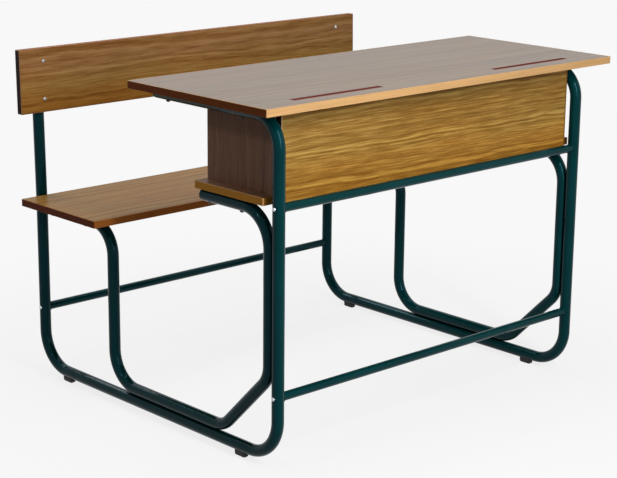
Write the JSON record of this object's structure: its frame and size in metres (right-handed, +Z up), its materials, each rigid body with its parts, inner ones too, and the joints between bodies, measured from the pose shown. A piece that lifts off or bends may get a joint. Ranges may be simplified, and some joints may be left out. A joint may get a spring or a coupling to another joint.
{
  "type": "school desk with bench",
  "caption": "School desk for sitting side by side with attached bench and backrest, open book compartment and bent-tube side frames.",
  "frame": {"origin": "on the floor, under the middle of the whole piece", "axes": "+X along the boards' long side, to the right when looking from the desk's closed front towards the bench; +Y from the desk's front towards the backrest; +Z up. The sitters face -Y."},
  "size_m": [1.05, 0.889, 0.7746],
  "materials": {
    "top_laminate": "satin laminate with fine lengthwise grain, greyish brown",
    "back_laminate": "satin laminate with streaked grain, mid brown",
    "panel_laminate": "satin laminate with wavy grain, golden brown",
    "side_laminate": "satin laminate with upright grain, dark brown",
    "edge_band": "thin glued edge band, warm tan",
    "dark_edge_band": "thin glued edge band, dark red-brown",
    "green_paint": "glossy powder coat, very dark green",
    "zinc": "bright zinc plate",
    "dark_steel": "blackened steel, satin",
    "black_rubber": "matte black",
    "black_plastic": "moulded, fine matte black"
  },
  "bodies": {
    "root": {"desktop": "top_laminate", "desktop_edge_band": "edge_band", "seat": "top_laminate", "seat_edge_band": "dark_edge_band", "backrest": "back_laminate", "backrest_edge_band": "dark_edge_band", "book_shelf": "side_laminate", "book_shelf_edge_band": "edge_band", "front_panel": "panel_laminate", "side_panel_left": "side_laminate", "side_panel_right": "side_laminate", "outer_tube_left": "green_paint", "outer_tube_right": "green_paint", "inner_tube_left": "green_paint", "inner_tube_right": "green_paint", "upper_front_cross_tube": "green_paint", "lower_front_cross_tube": "green_paint", "rear_cross_tube": "green_paint", "foot_front_left": "black_rubber", "foot_front_right": "black_rubber", "foot_rear_left": "black_rubber", "foot_rear_right": "black_rubber", "desk_tube_cap_left": "black_plastic", "desk_tube_cap_right": "black_plastic", "shelf_tube_cap_left": "black_plastic", "shelf_tube_cap_right": "black_plastic", "upright_cap_left": "black_plastic", "upright_cap_right": "black_plastic", "corner_block_front_left": "black_plastic", "corner_block_front_right": "black_plastic", "corner_block_rear_left": "black_plastic", "corner_block_rear_right": "black_plastic", "backrest_bolt_upper_left": "zinc", "backrest_bolt_upper_right": "zinc", "backrest_bolt_lower_left": "zinc", "backrest_bolt_lower_right": "zinc", "backrest_nut_upper_left": "zinc", "backrest_nut_upper_right": "zinc", "backrest_nut_lower_left": "zinc", "backrest_nut_lower_right": "zinc", "upper_front_bolt_left": "zinc", "upper_front_bolt_right": "zinc", "lower_front_bolt_left": "zinc", "lower_front_bolt_right": "zinc", "rear_bolt_left": "zinc", "rear_bolt_right": "zinc", "desktop_screw_front_left": "dark_steel", "desktop_screw_front_right": "dark_steel", "desktop_screw_rear_left": "dark_steel", "desktop_screw_rear_right": "dark_steel", "seat_screw_front_left": "dark_steel", "seat_screw_front_right": "dark_steel", "seat_screw_rear_left": "dark_steel", "seat_screw_rear_right": "dark_steel", "book_shelf_screw_front_left": "dark_steel", "book_shelf_screw_front_right": "dark_steel", "book_shelf_screw_rear_left": "dark_steel", "book_shelf_screw_rear_right": "dark_steel"}
  },
  "joints": []
}
